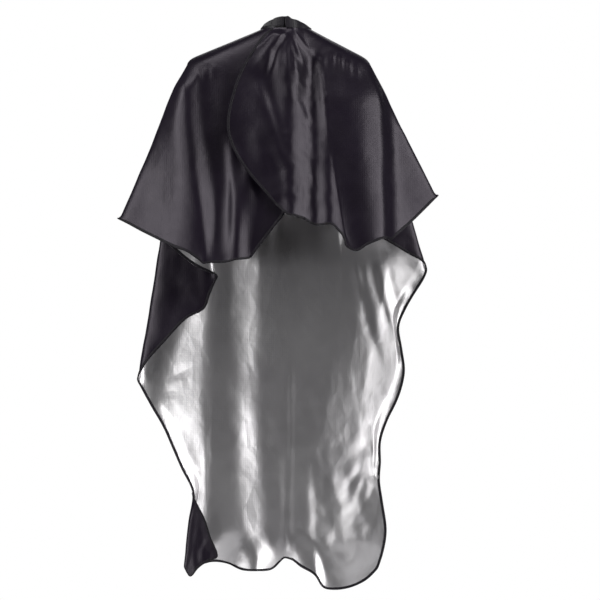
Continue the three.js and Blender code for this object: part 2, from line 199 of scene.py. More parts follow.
def fan_line(neck, shoulder, end, inward, bow):
    """One column of the cloth, from the neck over the shoulder to the edge."""
    start = end + inward * HEM_START
    middle = shoulder + (start - shoulder) * 0.6
    middle[0] += bow
    t = np.linspace(0, 1, FALL_POINTS)[:, None]
    fall = (1 - t) ** 2 * shoulder + 2 * t * (1 - t) * middle + t * t * start
    slope = neck + (shoulder - neck) * np.linspace(0, 1, SLOPE_POINTS)[:-1, None]
    # ease the turn over the shoulder
    dense = resampled(np.vstack([slope, fall]), np.linspace(0, 1, LINE_POINTS))
    length = np.linalg.norm(np.diff(dense, axis=0), axis=1).sum()
    reach = max(1, int(round(SHOULDER_EASE / length * LINE_POINTS)))
    kernel = np.hanning(2 * reach + 3)[1:-1]
    kernel /= kernel.sum()
    padded = np.vstack([
        2 * dense[0] - dense[reach:0:-1], dense, 2 * dense[-1] - dense[-2:-reach - 2:-1]])
    eased = np.stack([np.convolve(padded[:, k], kernel, "valid") for k in range(3)], axis=1)
    return resampled(np.vstack([eased, end]), np.linspace(0, 1, ROWS))


def blurred(values, spread):
    """Values eased from column to column."""
    reach = int(spread * 2.5)
    kernel = np.exp(-(np.arange(-reach, reach + 1) / spread) ** 2)
    kernel /= kernel.sum()
    padded = np.pad(values, ((reach, reach), (0, 0)), "edge")
    return sum(k * padded[i:i + len(values)] for i, k in enumerate(kernel))


def stretch_columns(name):
    """The fine outline of one stretch: angle, end and bow of every column."""
    low, high, bow, heart, edge = STRETCHES[name]
    samples = [0.0]
    for i in range(len(edge) - 1):
        gap = np.linalg.norm(np.subtract(edge[i + 1], edge[i]))
        count = max(2, int(round(gap / COLUMN_STEP)))
        samples += [i + (k + 1) / count for k in range(count)]
    ends = catmull(edge, samples)
    share = np.array(samples) / (len(edge) - 1)
    return [(low + (high - low) * s, e, bow[0] + (bow[1] - bow[0]) * s, heart)
            for s, e in zip(share, ends)], samples


def fan_grid(names):
    """Columns of fan lines over several stretches in order, as an array [column, row, xyz]."""
    columns, marks = [], {}
    for name in names:
        made, samples = stretch_columns(name)
        if columns:
            made, samples = made[1:], samples[1:]
        marks[name] = (len(columns), samples)
        columns += made
    ends = np.array([c[1] for c in columns])
    tangents = unit(np.gradient(ends, axis=0))
    necks = [neck_point(c[0]) for c in columns]
    shoulders = [shoulder_point(c[0], neck, end) for c, neck, end in zip(columns, necks, ends)]
    hearts = np.array([shoulder if c[3] is None else c[3] for c, shoulder in zip(columns, shoulders)], float)
    inside_edge = hearts - ends
    inward = unit(inside_edge - tangents * (inside_edge * tangents).sum(1, keepdims=True))
    long_side = slice(marks["drape_left"][0] + INWARD_INSET, marks["right_pleat"][0] - INWARD_INSET)
    inward[long_side] = unit(blurred(inward, INWARD_SPREAD))[long_side]
    grid = np.array([
        fan_line(neck, shoulder, end, toward, c[2])
        for c, neck, shoulder, end, toward in zip(columns, necks, shoulders, ends, inward)])
    return grid, marks


def grid_normals(grid):
    return unit(np.cross(np.gradient(grid, axis=0), np.gradient(grid, axis=1)))


def softened(grid, times, keep):
    """Smooths a grid, leaving the points where keep is 1."""
    out = grid.copy()
    for _ in range(times):
        p = np.pad(out, ((1, 1), (1, 1), (0, 0)), "edge")
        mean = (p[:-2, 1:-1] + p[2:, 1:-1] + p[1:-1, :-2] + p[1:-1, 2:]) / 4
        out = out + (mean - out) * (1 - keep)[..., None]
    return out


# ---- meshes ----
def add_object(name, vertices, faces, uvs=None):
    """A smooth-shaded object from points in millimetres."""
    mesh = bpy.data.meshes.new(name)
    mesh.from_pydata([tuple(v) for v in np.asarray(vertices) * MM], [], [tuple(f) for f in faces])
    mesh.update()
    if uvs is not None:
        layer = mesh.uv_layers.new(name="metres")
        index = np.zeros(len(mesh.loops), int)
        mesh.loops.foreach_get("vertex_index", index)
        layer.data.foreach_set("uv", (np.asarray(uvs, float)[index] * MM).ravel())
    mesh.polygons.foreach_set("use_smooth", [True] * len(mesh.polygons))
    made = bpy.data.objects.new(name, mesh)
    bpy.context.scene.collection.objects.link(made)
    return made


def grid_faces(columns, rows, turned):
    i, j = np.meshgrid(np.arange(columns - 1), np.arange(rows - 1), indexing="ij")
    a = (i * rows + j).ravel()
    quads = np.stack([a, a + 1, a + rows + 1, a + rows], axis=1)
    return quads[:, ::-1] if turned else quads


def grid_uvs(grid):
    """Lengths along and down the cloth, in millimetres."""
    u = np.zeros(grid.shape[:2])
    v = np.zeros(grid.shape[:2])
    u[1:] = np.cumsum(np.linalg.norm(np.diff(grid, axis=0), axis=2), axis=0)
    v[:, 1:] = np.cumsum(np.linalg.norm(np.diff(grid, axis=1), axis=2), axis=1)
    return np.stack([u, v], axis=-1).reshape(-1, 2)


def add_cloth(name, grid, normals, turned):
    """The cloth's outer face and its silver inner face, one mesh each."""
    columns, rows = grid.shape[:2]
    uvs = grid_uvs(grid)
    outer = add_object("nylon_" + name, (grid + normals * SKIN).reshape(-1, 3),
                       grid_faces(columns, rows, turned), uvs)
    inner = add_object("coating_" + name, (grid - normals * SKIN).reshape(-1, 3),
                       grid_faces(columns, rows, not turned), uvs)
    return outer, inner


# section of the folded tape: (inwards from the edge, off the middle of the cloth)
TAPE = [(0.0, 0.0), (0.25, 0.95), (1.0, 1.25), (BINDING_WIDTH - 0.5, 1.15), (BINDING_WIDTH, 0.7),
        (BINDING_WIDTH, -0.7), (BINDING_WIDTH - 0.5, -1.15), (1.0, -1.25), (0.25, -0.95)]


def add_binding(name, edge, inward, normal):
    """A folded tape along an edge given by points, inward directions and normals."""
    size = len(TAPE)
    tangent = unit(np.gradient(edge, axis=0))
    step = np.linalg.norm(np.gradient(edge, axis=0), axis=1)
    turn = np.linalg.norm(np.gradient(tangent, axis=0), axis=1) / np.maximum(step, 1e-6)
    turn = np.convolve(np.pad(turn, 3, "edge"), np.ones(7) / 7, "valid")
    narrow = np.clip(1.1 - turn * 9, 0.3, 1.0)[:, None]
    sections = np.stack([edge + inward * d * narrow + normal * h for d, h in TAPE], axis=1)
    count = len(edge)
    faces = []
    for i in range(count - 1):
        for k in range(size):
            a, b = i * size + k, i * size + (k + 1) % size
            faces.append((a, b, b + size, a + size))
    last = (count - 1) * size
    faces.append(tuple(range(size))[::-1])
    faces.append(tuple(last + k for k in range(size)))
    along = np.concatenate([[0], np.cumsum(np.linalg.norm(np.diff(edge, axis=0), axis=1))])
    uvs = np.array([[(s, d) for d, _ in TAPE] for s in along]).reshape(-1, 2)
    return add_object(name, sections.reshape(-1, 3), faces, uvs)


def edge_of(grid, normals, side):
    """Edge points, inward directions and normals along one side of a grid."""
    if side == "bottom":
        edge, back, n = grid[:, -1], grid[:, -4], normals[:, -2]
    elif side == "first":
        edge, back, n = grid[0], grid[2], normals[1]
    else:
        edge, back, n = grid[-1], grid[-3], normals[-2]
    tangent = unit(np.gradient(edge, axis=0))
    inside = back - edge
    inward = unit(inside - tangent * (inside * tangent).sum(1, keepdims=True))
    normal = unit(n - inward * (n * inward).sum(1, keepdims=True))
    normal = unit(normal - tangent * (normal * tangent).sum(1, keepdims=True))
    return edge, inward, normal


# ---- noise ----
GRADIENTS = np.random.default_rng(7).uniform(0, 2 * math.pi, (256, 256))


def noise(u, v):
    """Smooth gradient noise, about -0.7 to 0.7, with features one unit across."""
    i, j = np.floor(u).astype(int), np.floor(v).astype(int)
    fu, fv = u - i, v - j
    su, sv = fu ** 3 * (fu * (fu * 6 - 15) + 10), fv ** 3 * (fv * (fv * 6 - 15) + 10)

    def corner(di, dj):
        a = GRADIENTS[(i + di) % 256, (j + dj) % 256]
        return np.cos(a) * (fu - di) + np.sin(a) * (fv - dj)

    low = corner(0, 0) * (1 - su) + corner(1, 0) * su
    high = corner(0, 1) * (1 - su) + corner(1, 1) * su
    return low * (1 - sv) + high * sv


CREASE_DIRECTIONS = 5


def crumple(x, z, size, shift=0.0):
    """Straight creases that cross in patches, as in stiff cloth that has been folded: about 0 to 1."""
    total = np.zeros(x.shape)
    for k in range(CREASE_DIRECTIONS):
        turn = 0.4 + k * 2.4 + shift
        across = x * math.cos(turn) + z * math.sin(turn)
        along = z * math.cos(turn) - x * math.sin(turn)
        warp = noise(x / (size * 2.2) + k * 7.3 + shift, z / (size * 2.2) + k * 3.1) * 0.9
        wave = across / size + shift * 3.1 + k * 0.37 + warp
        ridge = np.abs(wave - np.floor(wave) - 0.5) * 2
        patch = noise(across / (size * 1.3) + k * 5.1 + 20, along / (size * 1.9) + k * 2.3 + 30)
        total += ridge * smoothstep(patch, -0.1, 0.35)
    return total / (CREASE_DIRECTIONS / 2)


def inside(v, low, high, soft):
    """1 between low and high, falling to 0 over soft on either side."""
    return smoothstep(v, low - soft, low + soft) * (1 - smoothstep(v, high - soft, high + soft))


def fold(x, z, path, height, width, right=None, top=0.0, ends=(40, 40)):
    """The height of a fold that runs down path, at points x, z: flat over top to either side of its
    middle, then falling off over width to the left and right to the right."""
    right = width if right is None else right
    p = np.asarray(path, float)
    best = np.full(x.shape, 1e9)
    side = np.zeros(x.shape)
    along = np.zeros(x.shape)
    total = 0.0
    for a, b in zip(p[:-1], p[1:]):
        d = b - a
        length = math.hypot(*d)
        t = np.clip(((x - a[0]) * d[0] + (z - a[1]) * d[1]) / length ** 2, 0, 1)
        off = np.hypot(x - a[0] - d[0] * t, z - a[1] - d[1] * t)
        nearer = off < best
        sign = (x - a[0]) * -d[1] + (z - a[1]) * d[0]
        side = np.where(nearer, sign, side)
        along = np.where(nearer, total + t * length, along)
        best = np.where(nearer, off, best)
        total += length
    reach = np.where(side >= 0, right, width)
    fall = np.exp(-(np.maximum(best - top, 0) / reach) ** 2)
    start = smoothstep(along, -1, ends[0]) if ends[0] else 1.0
    stop = 1 - smoothstep(along, total - ends[1], total + 1) if ends[1] else 1.0
    return height * fall * start * stop


# ---- the sheet at rest: one grid over flap, cape and flap ----
MAIN = list(STRETCHES)
fan, marks = fan_grid(MAIN)


def column_of(name, index):
    """The fan grid's column at an outline point."""
    first, samples = marks[name]
    return first + int(np.argmin(np.abs(np.array(samples) - index)))


def flap_columns(root, lap, free, count):
    """Columns from the hinge line, which is root, to the free edge."""
    edge = catmull([neck_point(lap)] + list(free), np.linspace(0, len(free), EDGE_SAMPLES))
    edge = resampled(edge, np.linspace(0, 1, ROWS))
    share = np.linspace(0, 1, count)[:, None, None]
    return root[None] + (edge - root)[None] * share


under = flap_columns(fan[0], LAP_UNDER, UNDER_FREE, UNDER_COLUMNS)[:0:-1]
over = flap_columns(fan[-1], LAP_OVER, OVER_FREE, OVER_COLUMNS)[1:]
sheet = np.concatenate([under, fan, over])
seam_under = len(under)
seam_over = len(under) + len(fan) - 1
starts = {name: len(under) + marks[name][0] for name in MAIN}

keep = np.zeros(sheet.shape[:2])
keep[0], keep[-1], keep[:, 0], keep[:, -1] = 1, 1, 1, 1
sheet = softened(sheet, SMOOTH_PASSES, keep)

# the long side hangs evenly, whatever the turns of its edge
drape = inside(np.arange(len(sheet)), starts["drape_left"], starts["right_pleat"], 26)[:, None]
row_share = np.linspace(0, 1, ROWS)[None, :]
even = drape * (1 - smoothstep(row_share, 0.9, 1.0))
for k in range(3):
    sheet[..., k] += (blurred(sheet[..., k], 7) - sheet[..., k]) * even
column = np.arange(len(sheet))[:, None] * np.ones((1, ROWS))
from_neck = np.zeros(sheet.shape[:2])
from_neck[:, 1:] = np.cumsum(np.linalg.norm(np.diff(sheet, axis=1), axis=2), axis=1)
from_edge = from_neck[:, -1:] - from_neck


def between(low, high, soft=14):
    """1 on the sheet's columns from low to high."""
    return inside(column, low, high, soft)


# ---- the long side's broad hang: its depth at places across, for three heights ----
HANG_HEIGHTS = (-480, -760, -1010)
HANG = [
    ((-175, 46), (-274, 41), (-212, 61)), ((-156, 54), (-170, 79), (-160, 77)),
    ((-142, 55), (-152, 82), (-148, 79)), ((-108, 56), (-112, 82), (-110, 78)),
    ((-88, 61), (-94, 85), (-90, 80)), ((-52, 70), (-58, 97), (-46, 94)),
    ((-20, 72), (-20, 100), (-10, 97)), ((60, 72), (44, 100), (40, 97)),
    ((118, 72), (84, 96), (72, 92)), ((160, 70), (118, 87), (100, 84)),
    ((204, 62), (150, 77), (140, 70)), ((284, 26), (236, 42), (212, 54)),
]


def hang_depth(x, z):
    """How far back the long side hangs at x, z."""
    places = [[np.interp(-z, [-h for h in HANG_HEIGHTS], [level[k] for level in point]) for k in (0, 1)]
              for point in HANG]
    depth = places[0][1].copy()
    for (x0, y0), (x1, y1) in zip(places[:-1], places[1:]):
        depth += (y1 - y0) * np.clip((x - x0) / (x1 - x0), 0, 1)
    return depth


# ---- folds in the front ----
def front_folds(x, z):
    """How far the front stands out of its plain shape."""
    out = fold(x, z, [(-198, -66), (-192, -180), (-180, -300), (-154, -470)], 21, 58, 22, ends=(60, 0))
    out += fold(x, z, [(-112, -205), (-100, -330), (-96, -480)], 6, 10, 13, ends=(50, 0))
    out += fold(x, z, [(-56, -300), (-50, -480)], 3, 30, ends=(60, 0))
    # the right front: a broad flat column, and a slope either side
    out += fold(x, z, [(122, -60), (126, -250), (130, -470)], 12, 28, 24, top=46, ends=(90, 0))
    out += fold(x, z, [(168, -70), (172, -250), (174, -470)], 12, 60, 24, top=8, ends=(90, 0))
    # short puckers where the shoulders turn down
    for at, drop, size in ((-176, -84, 2.6), (-160, -74, 2.2), (-144, -68, 1.8),
                           (92, -44, 2.2), (108, -50, 2.8), (124, -58, 2.6), (140, -64, 2.0)):
        out += fold(x, z, [(at, drop), (at * 1.02, drop - 46)], size, 4.5, ends=(16, 30))
    return out


def overlap_folds(x, z):
    """The broad folds down the upper flap."""
    out = fold(x, z, [(0, -4), (-30, -46), (-46, -110)], 10, 26, 7, ends=(20, 50))
    out += fold(x, z, [(8, -16), (-2, -70), (-6, -150)], 6, 18, 9, ends=(30, 90))
    out += fold(x, z, [(-72, -84), (-34, -176), (0, -290)], 11, 36, 12, ends=(80, 50))
    out += fold(x, z, [(-64, -190), (-44, -270), (-12, -350)], 4, 28, 14, ends=(40, 20))
    return out


def gathers(x, z):
    """Small folds that fan out from the closure."""
    out = np.zeros(x.shape)
    for end, size in (((-92, -70), 2.6), ((-74, -96), 2.2), ((-52, -120), 2.4), ((-26, -132), 2.2),
                      ((4, -140), 2.6), ((30, -128), 2.4), ((54, -110), 2.2), ((80, -80), 2.0)):
        out += fold(x, z, [(end[0] * 0.08, 2), (end[0] * 0.5, end[1] * 0.5), end], size, 4.2, ends=(6, 90))
    return out


# ---- folds in the long side ----
def long_folds(x, z):
    """How far the long side bulges towards the front."""
    out = fold(x, z, [(10, -650), (10, -800), (4, -1090)], 1.3, 5, ends=(80, 0))
    out += fold(x, z, [(132, -440), (160, -560), (196, -700)], 2.2, 12, 10, ends=(60, 80))
    out += fold(x, z, [(164, -440), (190, -540), (222, -640)], 2.2, 11, 9, ends=(60, 70))
    out += fold(x, z, [(194, -430), (214, -510), (234, -590)], 2.0, 10, 8, ends=(50, 60))
    out += fold(x, z, [(-20, -820), (-14, -960), (-14, -1090)], 2.2, 16, 12, ends=(110, 0))
    out += fold(x, z, [(58, -860), (60, -980), (64, -1110)], 3.0, 12, 16, ends=(80, 0))
    return out


def edge_creases(x, z):
    """Creases that run in from the bound side edges."""
    out = fold(x, z, [(-292, -712), (-236, -694), (-168, -668)], 2.6, 4.5, ends=(4, 60))
    out += fold(x, z, [(-286, -736), (-246, -724), (-206, -722)], 2.4, 4, ends=(4, 40))
    out += fold(x, z, [(-252, -796), (-214, -792)], 1.8, 4, ends=(4, 30))
    out += fold(x, z, [(-206, -890), (-172, -882)], 2.4, 4, ends=(4, 30))
    out += fold(x, z, [(-204, -906), (-176, -904)], 2.2, 3.5, ends=(4, 24))
    out += fold(x, z, [(278, -500), (244, -470), (206, -452)], 2.6, 4.5, ends=(4, 40))
    out += fold(x, z, [(262, -524), (230, -506), (200, -508)], 2.4, 4.5, ends=(4, 40))
    out += fold(x, z, [(246, -552), (222, -544), (206, -560)], 2.2, 4, ends=(4, 30))
    out += fold(x, z, [(236, -640), (212, -628)], 2.0, 4, ends=(4, 20))
    out += fold(x, z, [(200, -800), (172, -790), (150, -806)], 2.6, 4.5, ends=(4, 30))
    out += fold(x, z, [(190, -900), (150, -884), (116, -930)], 2.8, 5, ends=(4, 30))
    return out


# ---- where on the sheet each shape belongs ----
x, z = sheet[..., 0], sheet[..., 2]
hung = blurred(hang_depth(x, z), 5)
near_hem = smoothstep(-z, 950, 1040)
hanging = drape * smoothstep(-z, 380, 480) * smoothstep(from_edge / (32 + 58 * near_hem), 0.06, 1)
sheet[..., 1] += (hung - sheet[..., 1]) * hanging
front_left = between(-40, starts["left_pleat"])
front_right = between(starts["front_right"], len(sheet) + 40)
front = np.maximum(front_left, front_right)
long_side = between(starts["drape_left"], starts["right_pleat"], 22)
on_overlap = smoothstep(column, seam_over - 6, seam_over + 16)
beside_slit = np.maximum(on_overlap, front_right)
near_slit = np.maximum(on_overlap * smoothstep(x, -30, 20), inside(x, 0, 84, 16) * front_right)
left_pleat = between(starts["left_pleat"], starts["drape_left"])
pleats = np.maximum(left_pleat, between(starts["right_pleat"], starts["front_right"]))

# the front stands out along its normals
out = front * front_folds(x, z) * smoothstep(from_neck, 8, 70)
out += beside_slit * fold(x, z, [(10, -40), (8, -200), (14, -384)], 11, 24, 30, ends=(50, 0))
out -= beside_slit * fold(x, z, [(52, -40), (60, -200), (64, -392)], 15, 34, 11, ends=(50, 0))
out += on_overlap * overlap_folds(x, z) * smoothstep(from_neck, 2, 20)
out += front * gathers(x, z) * smoothstep(from_neck, 1, 14) * (0.35 + 0.65 * front_right)
out += near_slit * crumple(x, z, 40) * 3.4 * smoothstep(from_neck, 30, 90) * inside(z, -420, -60, 30)
out += near_slit * crumple(x, z, 20, 3.3) * 1.5 * smoothstep(from_neck, 30, 80)
side_light = np.maximum(front_right * smoothstep(x, 150, 220), front_left * smoothstep(-x, 150, 230))
out += side_light * crumple(x, z, 84, 5.1) * (1.3 + 1.3 * front_right) * smoothstep(from_neck, 60, 140)
out += front * noise(x / 34 + 4, z / 60 + 8) * 0.9 * smoothstep(from_neck, 40, 90)

# the long side comes towards the front, straight along y
towards = long_folds(x, z) * smoothstep(from_neck, 240, 420)
towards += edge_creases(x, z)
shiny = inside(x, 62, 190, 22) * smoothstep(-z, 790, 860)
towards += shiny * (crumple(x, z, 56, 1.7) * 5.0 + crumple(x, z, 27, 8.2) * 2.2)
towards += crumple(x, z, 80, 6.4) * 1.3 * smoothstep(-z, 600, 820)
towards += crumple(x, z, 34, 2.9) * 0.5 * smoothstep(-z, 560, 760)
towards += noise(x / 52 + 2, z / 150 + 5) * 1.5 * smoothstep(-z, 560, 760)
behind = (column > starts["drape_left"] - 30) & (column < starts["right_pleat"] + 30)
towards = towards * long_side * behind

# the pleats at the sides are creased
wavy = pleats * (crumple(x, z, 60, 4.4) * 2.2 + noise(x / 30, z / 46) * 1.2) * smoothstep(from_neck, 120, 260)

normals = grid_normals(sheet)
sheet = sheet + normals * (out + wavy)[..., None]
sheet[..., 1] -= towards
# the left pleat stands out beside the opening, both of its layers together
pleat_fold = fold(x, z, [(-130, -400), (-136, -540), (-226, -680)], 13, 72, 40, ends=(40, 60))
sheet[..., 1] -= left_pleat * pleat_fold
sheet = softened(sheet, LAST_SMOOTH_PASSES, keep * 0.5)
normals = grid_normals(sheet)

# ---- cloth pieces ----
PIECES = {
    "underlap": (0, seam_under + 1),
    "main": (seam_under, seam_over + 1),
    "overlap": (seam_over, len(sheet)),
}
cloth, coating = {}, {}
for name, (low, high) in PIECES.items():
    cloth[name], coating[name] = add_cloth(name, sheet[low:high], normals[low:high], False)

# ---- the turned-over corner ----
fold_low, fold_high = (len(under) + column_of("drape_left", point) for point in FOLD_AT)
fold_line = resampled(sheet[fold_low:fold_high + 1, -1], np.linspace(0, 1, CORNER_COLUMNS))
free_line = catmull([tuple(fold_line[0])] + CORNER_EDGE[:-1] + [tuple(fold_line[-1])],
                    np.linspace(0, len(CORNER_EDGE), CORNER_SAMPLES))
free_line = resampled(free_line, np.linspace(0, 1, CORNER_COLUMNS))
share = np.linspace(0, 1, CORNER_ROWS)[None, :, None]
corner = fold_line[:, None] + (free_line - fold_line)[:, None] * share
width = np.linalg.norm(free_line - fold_line, axis=1)[:, None]
bulge = np.sin(np.pi * np.clip(share[..., 0] * width / 14, 0, 1)) * smoothstep(width, 2, 30)
corner[..., 0] -= bulge * 3.0
corner[..., 1] -= smoothstep(share[..., 0] * width, 0, 10) * 3.5
ripple = noise(corner[..., 0] / 16 + 3, corner[..., 2] / 34 + 1) * 3.0
corner[..., 1] += ripple * smoothstep(share[..., 0] * width, 4, 30)
corner_normals = grid_normals(corner)
if corner_normals[..., 1].mean() > 0:
    corner_normals = -corner_normals
cloth["corner"], coating["corner"] = add_cloth("corner", corner, corner_normals, True)


# ---- bindings and their stitching ----
STITCH_PITCH, STITCH_LENGTH, THREAD = 3.4, 2.5, 0.24
STITCH_INSET, STITCH_LIFT = 1.3, 1.22  # the binding's stitches: from the tape's inner edge, and off the cloth
THREAD_SIDES = 5
# a stitch from end to end: (place along it, share of the thread's radius, depth sunk into the tape)
STITCH_RINGS = ((-0.5, 0.15, -0.25), (-0.3, 1.0, 0.0), (0.3, 1.0, 0.0), (0.5, 0.15, -0.25))


def pinched(edge, normal, seed):
    """The edge with the little waves that stitching pulls into it."""
    along = np.concatenate([[0], np.cumsum(np.linalg.norm(np.diff(edge, axis=0), axis=1))])
    wave = noise(along / 9.0, np.full(len(along), seed + 0.5)) * 0.55
    return edge + normal * wave[:, None]


def bound_edge(name, edge, inward, normal, seed):
    """The tape and its stitches along one edge."""
    edge = pinched(edge, normal, seed)
    tape_piece = add_binding("binding_" + name, edge, inward, normal)
    row = edge + inward * (BINDING_WIDTH - STITCH_INSET)
    thread = add_stitches("stitches_" + name, row, normal, inward, STITCH_LIFT)
    return tape_piece, thread


def add_stitches(name, row, normal, across, lift):
    """A row of stitches on both faces of a tape."""
    along = np.concatenate([[0], np.cumsum(np.linalg.norm(np.diff(row, axis=0), axis=1))])
    count = int(along[-1] / STITCH_PITCH) - 1

    def at(values, s):
        return np.stack([np.interp(s, along, values[:, k]) for k in range(3)], axis=1)

    middle = (np.arange(count) + 1) * STITCH_PITCH
    normal_at, across_at = unit(at(normal, middle)), unit(at(across, middle))
    rings = []
    for share, radius, sink in STITCH_RINGS:
        centre = at(row, middle + share * STITCH_LENGTH)
        for a in range(THREAD_SIDES):
            turn = 2 * math.pi * a / THREAD_SIDES
            rings.append((centre, radius, sink, math.cos(turn), math.sin(turn)))
    vertices, faces = [], []
    for face in (1, -1):
        block = np.stack([
            c + normal_at * face * (lift + sink + THREAD * r * up) + across_at * THREAD * r * side
            for c, r, sink, side, up in rings], axis=1)
        base = sum(len(v) for v in vertices)
        vertices.append(block.reshape(-1, 3))
        for i in range(count):
            first = base + i * len(rings)
            last = first + len(rings) - THREAD_SIDES
            for ring in range(first, last, THREAD_SIDES):
                for a in range(THREAD_SIDES):
                    p, q = ring + a, ring + (a + 1) % THREAD_SIDES
                    quad = (p, q, q + THREAD_SIDES, p + THREAD_SIDES)
                    faces.append(quad if face > 0 else quad[::-1])
            caps = [tuple(end + a for a in range(THREAD_SIDES)) for end in (first, last)]
            faces.append(caps[0][::-1] if face > 0 else caps[0])
            faces.append(caps[1] if face > 0 else caps[1][::-1])
    return add_object(name, np.concatenate(vertices), faces)


edges = {}
edge, inward, normal = edge_of(sheet, normals, "bottom")
for name, low, high in (("hem_underlap", 0, seam_under + 1), ("hem_upper", seam_under, fold_low + 4),
                        ("hem_lower", fold_high - 2, seam_over + 1), ("hem_overlap", seam_over, len(sheet))):
    edges[name] = bound_edge(name, edge[low:high], inward[low:high], normal[low:high], len(edges))
for name, side in (("slit_underlap", "first"), ("slit_overlap", "last")):
    edges[name] = bound_edge(name, *edge_of(sheet, normals, side), len(edges))
corner_edge = corner[:, -1]
corner_in = unit(corner[:, -4] - corner_edge + 1e-9)
corner_in[0], corner_in[-1] = corner_in[1], corner_in[-2]
edges["corner"] = bound_edge("corner", corner_edge, corner_in, corner_normals[:, -2], 9)


# ---- neckband, tab and patches ----
BAND_LOW, BAND_HIGH = 2.4, 22.4
BAND_FOOT = -1.2  # the band's lower edge takes in the cloth's top edge, so no light shows between them
BAND_LEAN = 7.0
BAND_GAP = 0.06  # degrees left between the neckband's ring and its two ends
OVER_BAND_END = 361.5
PATCH_LOW, PATCH_HIGH = 6.4, 18.4  # the hook patch and the loop strip
STRIP_SIDES = 28  # points round a strip's section


def band_dip(angle):
    """How much lower the band's upper edge lies at this angle: it slopes down to the shoulders."""
    x = -NECK_HALF_WIDTH * math.sin(math.radians(angle))
    side = abs(x) / NECK_HALF_WIDTH
    return 11.0 * side ** 1.6 + 4.6 * float(smoothstep(x, 3, 12)) + 1.0 * float(smoothstep(-x, 10, 26))


def band_point(angle, out, height):
    """A point of the neckband, which leans in towards the neck at its sides."""
    share = max(height - BAND_LOW, 0.0) / (BAND_HIGH - BAND_LOW)
    lean = BAND_LEAN * share * math.sin(math.radians(angle)) ** 2
    return neck_point(angle, out - lean, height - band_dip(angle) * share)


def add_strip(name, low_angle, high_angle, inner, outer, bottom, top, ends=(0, 0), puff=0.0):
    """A soft strip that stands round part of the neck, with rounded edges; ends rounds its two ends off."""
    stations = np.arange(low_angle, high_angle + 0.5, 1.0)
    stations[-1] = high_angle
    middle, half = (inner + outer) / 2, (outer - inner) / 2
    centre, tall = (bottom + top) / 2, (top - bottom) / 2
    radius = (NECK_HALF_WIDTH + NECK_HALF_DEPTH) / 2 + middle
    count = STRIP_SIDES
    vertices = []
    for s in stations:
        gap = [math.radians(abs(s - e)) * radius for e in (low_angle, high_angle)]
        squeeze = 1.0
        for g, r in zip(gap, ends):
            if r and g < r:
                squeeze = min(squeeze, math.sqrt(max(1 - (1 - g / r) ** 2, 0.02)))
        for k in range(count):
            a = 2 * math.pi * k / count
            c, q = math.cos(a), math.sin(a)
            flat = math.copysign(abs(c) ** 0.55, c)
            high = math.copysign(abs(q) ** 0.35, q)
            lump = puff * math.cos(high * math.pi / 2) * (1 + 0.3 * math.sin(s * 0.35))
            offset = middle + flat * (half + lump)
            height = centre + high * tall * (0.25 + 0.75 * squeeze if squeeze < 1 else 1)
            vertices.append(band_point(s, offset, height))
    faces = []
    for i in range(len(stations) - 1):
        for k in range(count):
            a, b = i * count + k, i * count + (k + 1) % count
            faces.append((a, b, b + count, a + count))
    last = (len(stations) - 1) * count
    faces.append(tuple(range(count))[::-1])
    faces.append(tuple(last + k for k in range(count)))
    return add_object(name, vertices, faces)


def strip_stitches(name, low_angle, high_angle, out, height, lift):
    """A row of stitches round the neckband or the tab."""
    angles = np.arange(low_angle, high_angle, 1.0)
    row = np.array([band_point(a, out, height) for a in angles])
    normal = unit(np.array([band_point(a, out + 5, height) for a in angles]) - row)
    across = np.tile([0.0, 0.0, 1.0], (len(angles), 1))
    return add_stitches(name, row, normal, across, lift)


band_ring = add_strip("band_ring", SEAM_UNDER + BAND_GAP, SEAM_OVER - BAND_GAP, -1, 1,
                      BAND_FOOT, BAND_HIGH, puff=0.25)
band_under = add_strip("band_underlap", LAP_UNDER + 0.5, SEAM_UNDER - BAND_GAP, -1, 1,
                       BAND_FOOT, BAND_HIGH, (4, 0))
band_over = add_strip("band_overlap", SEAM_OVER + BAND_GAP, OVER_BAND_END - 0.5, -1, 1,
                      BAND_FOOT, BAND_HIGH, (0, 3))
tab = add_strip("tab", 2.5, 31, 4.25, 6.25, BAND_LOW, BAND_HIGH, (3, 8), puff=0.2)
hook = add_strip("hook_tape", 11, 29, 2.8, 3.9, PATCH_LOW, PATCH_HIGH, (2, 2))
loop = add_strip("loop_tape", 10, 60, 1.35, 2.45, PATCH_LOW, PATCH_HIGH, (2, 2))
band_threads = [
    strip_stitches("stitches_band_low", 9, 345, 0, BAND_LOW + 2.2, 1.12),
    strip_stitches("stitches_band_high", 9, 345, 0, BAND_HIGH - 2.2, 1.12),
]
tab_threads = [
    strip_stitches("stitches_tab_low", 4, 29, 5.25, BAND_LOW + 2.0, 1.1),
    strip_stitches("stitches_tab_high", 4, 29, 5.25, BAND_HIGH - 2.0, 1.1),
]


# ---- materials ----
WAVE_PERIOD = 0.314  # metres between a wave texture's bands at scale 1
CLOUD_RANGE = 0.3, 0.7  # the noise values at which a colour is darkest and lightest


